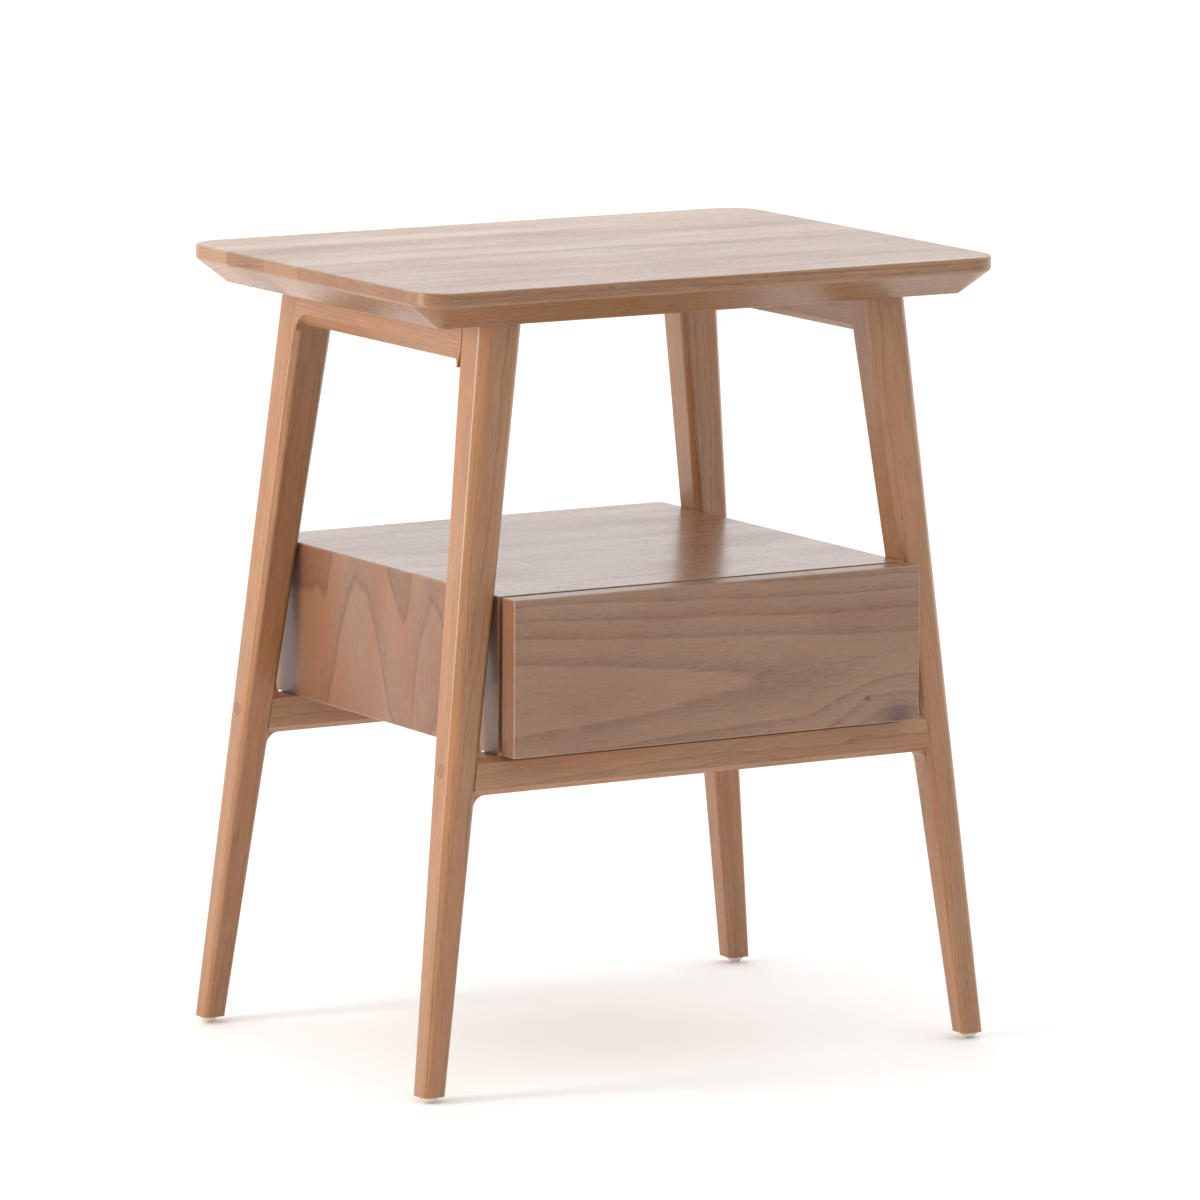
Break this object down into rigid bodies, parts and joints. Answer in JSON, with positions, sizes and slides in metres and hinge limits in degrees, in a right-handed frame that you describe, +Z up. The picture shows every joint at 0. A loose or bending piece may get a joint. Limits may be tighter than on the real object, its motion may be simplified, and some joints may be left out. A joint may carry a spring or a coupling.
{
  "type": "side table with drawer",
  "caption": "Side table with splayed tapered legs, bevelled top, open shelf space and a handleless drawer on ball slides.",
  "frame": {"origin": "on the floor under the middle of the table", "axes": "+Z up, front and drawer face -Y, +X to the table's right as seen from the front"},
  "size_m": [0.5, 0.372, 0.6],
  "materials": {
    "top_timber": "satin lacquer on edge-glued solid staves",
    "frame_timber": "satin lacquer on solid timber",
    "plug_timber": "satin lacquer, flush plug",
    "dowel_timber": "raw beech",
    "veneered_panel": "satin lacquer on veneered board",
    "back_panel": "veneered plywood",
    "drawer_box_timber": "clear lacquer",
    "drawer_base_panel": "plywood",
    "slide_steel": "zinc plated",
    "cage_steel": "zinc plated",
    "ball_steel": "polished",
    "screw_steel": "zinc plated",
    "glide_plastic": "moulded",
    "nail_steel": "bright"
  },
  "bodies": {
    "table": {"tabletop": "top_timber", "leg_front_left": "frame_timber", "leg_front_right": "frame_timber", "leg_rear_left": "frame_timber", "leg_rear_right": "frame_timber", "rail_left": "frame_timber", "rail_right": "frame_timber", "stretcher_front": "frame_timber", "stretcher_rear": "frame_timber", "rail_dowels": "dowel_timber", "stretcher_dowels": "dowel_timber", "stretcher_screws": "screw_steel", "leg_plugs": "plug_timber", "top_screws": "screw_steel", "case_top": "veneered_panel", "case_bottom": "veneered_panel", "case_left": "veneered_panel", "case_right": "veneered_panel", "case_splines": "dowel_timber", "case_back": "back_panel", "back_screws": "screw_steel", "case_screws": "screw_steel", "slide_case_left": "slide_steel", "slide_case_right": "slide_steel", "slide_case_screws": "screw_steel", "glide_front_left": "glide_plastic", "glide_front_right": "glide_plastic", "glide_rear_left": "glide_plastic", "glide_rear_right": "glide_plastic", "glide_nails": "nail_steel"},
    "drawer": {"drawer_front": "veneered_panel", "drawer_left": "drawer_box_timber", "drawer_right": "drawer_box_timber", "drawer_inner_front": "drawer_box_timber", "drawer_rear": "drawer_box_timber", "drawer_bottom": "drawer_base_panel", "drawer_dowels": "dowel_timber", "front_screws": "screw_steel", "slide_drawer_left": "slide_steel", "slide_drawer_right": "slide_steel", "slide_drawer_screws": "screw_steel"},
    "slide_middle_left": {"slide_middle_left": "slide_steel"},
    "slide_middle_right": {"slide_middle_right": "slide_steel"},
    "cage_outer_left": {"cage_outer_left": "cage_steel", "balls_outer_left": "ball_steel"},
    "cage_outer_right": {"cage_outer_right": "cage_steel", "balls_outer_right": "ball_steel"},
    "cage_inner_left": {"cage_inner_left": "cage_steel", "balls_inner_left": "ball_steel"},
    "cage_inner_right": {"cage_inner_right": "cage_steel", "balls_inner_right": "ball_steel"}
  },
  "joints": [
    {"name": "drawer_slide", "type": "slide", "parent": "table", "child": "drawer", "axis": [0, -1, 0], "range_m": [0, 0.28]},
    {"name": "slide_middle_left_run", "type": "slide", "parent": "table", "child": "slide_middle_left", "axis": [0, -1, 0], "range_m": [0, 0.14]},
    {"name": "slide_middle_right_run", "type": "slide", "parent": "table", "child": "slide_middle_right", "axis": [0, -1, 0], "range_m": [0, 0.14]},
    {"name": "cage_outer_left_run", "type": "slide", "parent": "table", "child": "cage_outer_left", "axis": [0, -1, 0], "range_m": [0, 0.07]},
    {"name": "cage_outer_right_run", "type": "slide", "parent": "table", "child": "cage_outer_right", "axis": [0, -1, 0], "range_m": [0, 0.07]},
    {"name": "cage_inner_left_run", "type": "slide", "parent": "table", "child": "cage_inner_left", "axis": [0, -1, 0], "range_m": [0, 0.21]},
    {"name": "cage_inner_right_run", "type": "slide", "parent": "table", "child": "cage_inner_right", "axis": [0, -1, 0], "range_m": [0, 0.21]}
  ],
  "couplings": [
    {"joint": "slide_middle_left_run", "follows": "drawer_slide", "ratio": 0.5},
    {"joint": "slide_middle_right_run", "follows": "drawer_slide", "ratio": 0.5},
    {"joint": "cage_outer_left_run", "follows": "drawer_slide", "ratio": 0.25},
    {"joint": "cage_outer_right_run", "follows": "drawer_slide", "ratio": 0.25},
    {"joint": "cage_inner_left_run", "follows": "drawer_slide", "ratio": 0.75},
    {"joint": "cage_inner_right_run", "follows": "drawer_slide", "ratio": 0.75}
  ]
}
